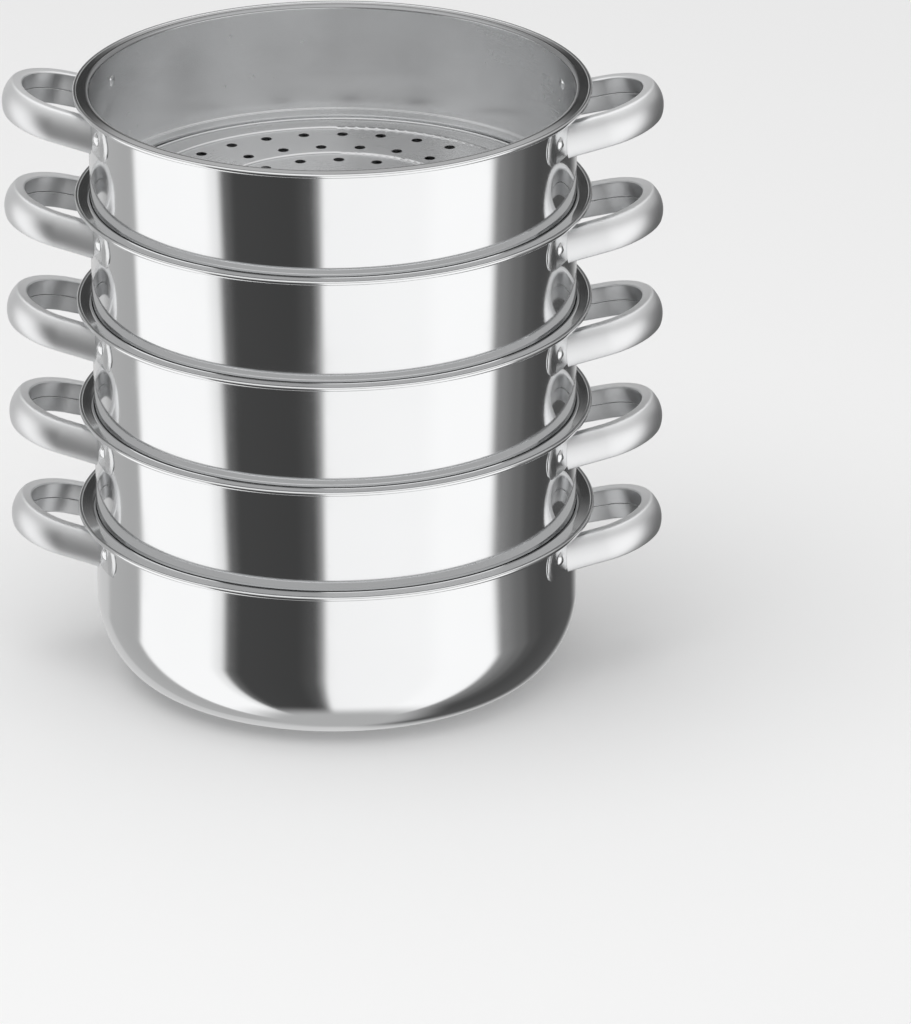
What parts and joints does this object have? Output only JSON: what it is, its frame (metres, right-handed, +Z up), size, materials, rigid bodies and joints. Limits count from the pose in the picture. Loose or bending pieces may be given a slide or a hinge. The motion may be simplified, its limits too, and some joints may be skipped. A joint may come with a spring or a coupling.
{
  "type": "steamer pot",
  "caption": "Stacked stainless steel steamer: a round-bottomed pot under open lift-off tiers with perforated steaming plates, rolled rims and riveted loop handles.",
  "frame": {"origin": "middle of the pot's flat base, on the surface that it stands on", "axes": "+Z up along the stack's axis, +X along the line through the loop handles, -Y towards the side that the picture shows"},
  "size_m": [0.4202, 0.333, 0.3966],
  "materials": {
    "polished_steel": "mirror-polished stainless steel sheet",
    "handle_steel": "mirror-polished hollow stainless steel strap",
    "satin_steel": "polished pressed stainless steel",
    "rivet_steel": "bright domed heads",
    "plate_steel": "satin stainless steel sheet"
  },
  "bodies": {
    "pot": {"pot_shell": "polished_steel", "pot_handle_left": "handle_steel", "pot_handle_right": "handle_steel", "pot_ears_left": "satin_steel", "pot_ears_right": "satin_steel", "pot_rivets_left": "rivet_steel", "pot_rivets_right": "rivet_steel"},
    "tier_1": {"tier_1_shell": "polished_steel", "tier_1_handle_left": "handle_steel", "tier_1_handle_right": "handle_steel", "tier_1_ears_left": "satin_steel", "tier_1_ears_right": "satin_steel", "tier_1_rivets_left": "rivet_steel", "tier_1_rivets_right": "rivet_steel"},
    "plate_1": {"tier_1_plate": "plate_steel"},
    "tier_2": {"tier_2_shell": "polished_steel", "tier_2_handle_left": "handle_steel", "tier_2_handle_right": "handle_steel", "tier_2_ears_left": "satin_steel", "tier_2_ears_right": "satin_steel", "tier_2_rivets_left": "rivet_steel", "tier_2_rivets_right": "rivet_steel"},
    "plate_2": {"tier_2_plate": "plate_steel"},
    "tier_3": {"tier_3_shell": "polished_steel", "tier_3_handle_left": "handle_steel", "tier_3_handle_right": "handle_steel", "tier_3_ears_left": "satin_steel", "tier_3_ears_right": "satin_steel", "tier_3_rivets_left": "rivet_steel", "tier_3_rivets_right": "rivet_steel"},
    "plate_3": {"tier_3_plate": "plate_steel"},
    "tier_4": {"tier_4_shell": "polished_steel", "tier_4_handle_left": "handle_steel", "tier_4_handle_right": "handle_steel", "tier_4_ears_left": "satin_steel", "tier_4_ears_right": "satin_steel", "tier_4_rivets_left": "rivet_steel", "tier_4_rivets_right": "rivet_steel"},
    "plate_4": {"tier_4_plate": "plate_steel"}
  },
  "joints": [
    {"name": "tier_1_lift", "type": "slide", "parent": "pot", "child": "tier_1", "axis": [0, 0, 1], "range_m": [0, 0.12]},
    {"name": "tier_2_lift", "type": "slide", "parent": "tier_1", "child": "tier_2", "axis": [0, 0, 1], "range_m": [0, 0.12]},
    {"name": "tier_3_lift", "type": "slide", "parent": "tier_2", "child": "tier_3", "axis": [0, 0, 1], "range_m": [0, 0.12]},
    {"name": "tier_4_lift", "type": "slide", "parent": "tier_3", "child": "tier_4", "axis": [0, 0, 1], "range_m": [0, 0.12]},
    {"name": "plate_1_lift", "type": "slide", "parent": "tier_1", "child": "plate_1", "axis": [0, 0, 1], "range_m": [0, 0.06]},
    {"name": "plate_2_lift", "type": "slide", "parent": "tier_2", "child": "plate_2", "axis": [0, 0, 1], "range_m": [0, 0.06]},
    {"name": "plate_3_lift", "type": "slide", "parent": "tier_3", "child": "plate_3", "axis": [0, 0, 1], "range_m": [0, 0.06]},
    {"name": "plate_4_lift", "type": "slide", "parent": "tier_4", "child": "plate_4", "axis": [0, 0, 1], "range_m": [0, 0.1]}
  ]
}
